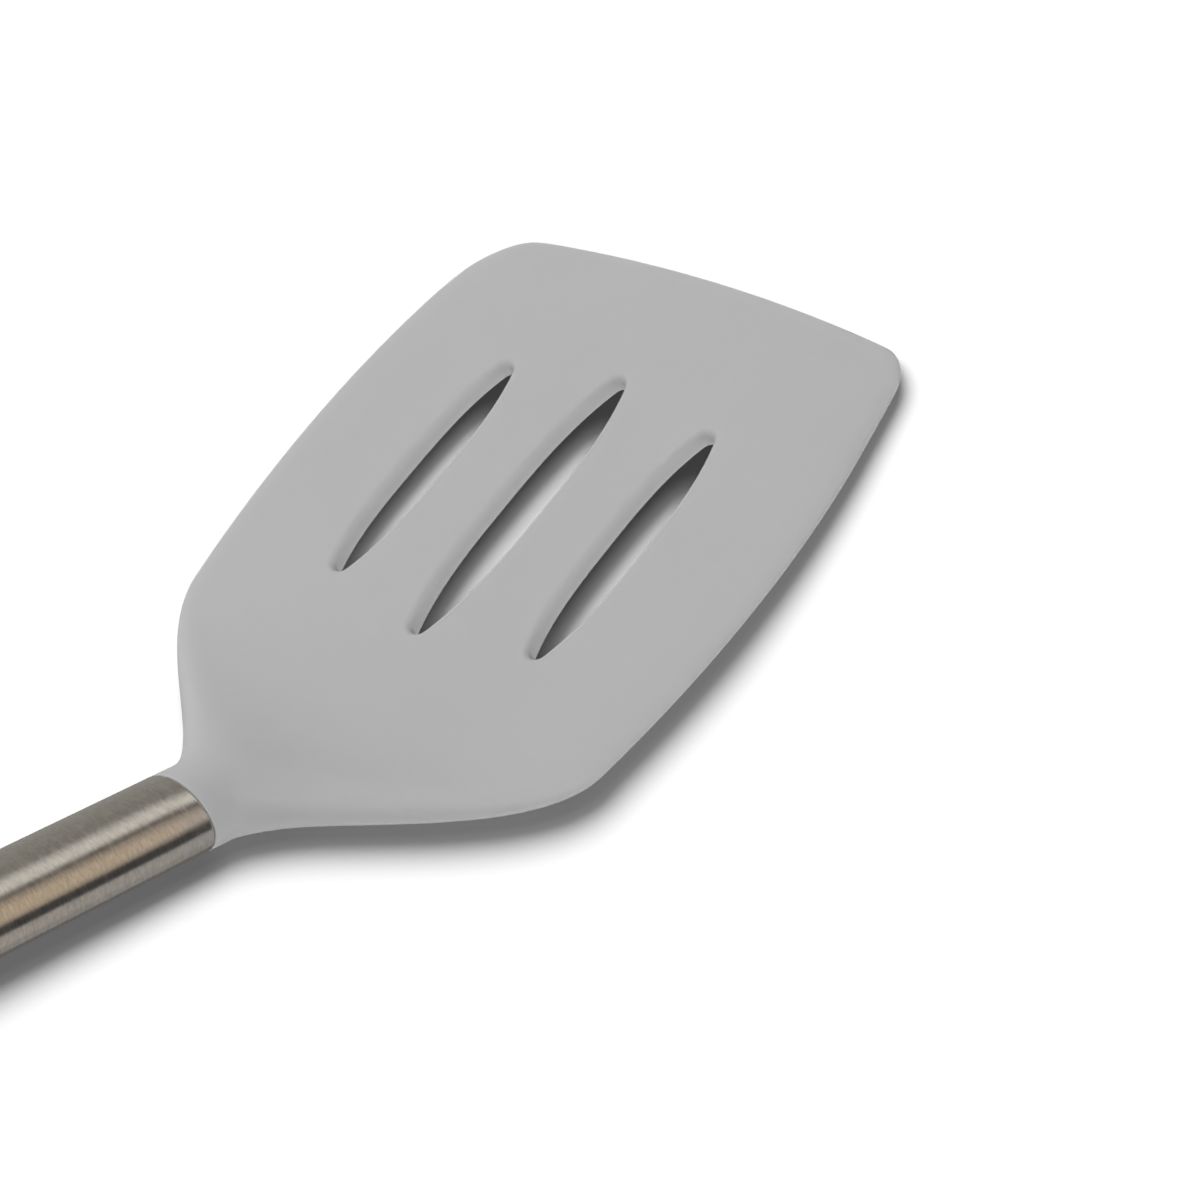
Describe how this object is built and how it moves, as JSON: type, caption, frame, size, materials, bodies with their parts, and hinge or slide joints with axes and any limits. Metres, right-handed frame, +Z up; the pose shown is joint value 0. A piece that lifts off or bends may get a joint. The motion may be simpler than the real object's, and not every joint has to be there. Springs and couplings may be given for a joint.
{
  "type": "slotted turner",
  "caption": "Kitchen turner with a soft grey silicone head, slots that drain, a scooped heel and an oval brushed steel handle with a hanging hole.",
  "frame": {"origin": "middle of the bounding box, on the plane of the blade's underside", "axes": "+Y from the handle to the front edge of the blade, +Z up out of the blade's top face, +X to the right"},
  "size_m": [0.095, 0.3072, 0.1258],
  "materials": {
    "silicone": "matte",
    "spring_steel": "satin",
    "nylon": "matte",
    "brushed_steel": "satin"
  },
  "bodies": {
    "root": {"blade_skin": "silicone", "blade_core": "spring_steel", "tang": "spring_steel", "core_rivets": "spring_steel", "neck_bush": "nylon", "tail_bush": "nylon", "handle_tube": "brushed_steel", "end_cap": "brushed_steel"}
  },
  "joints": []
}
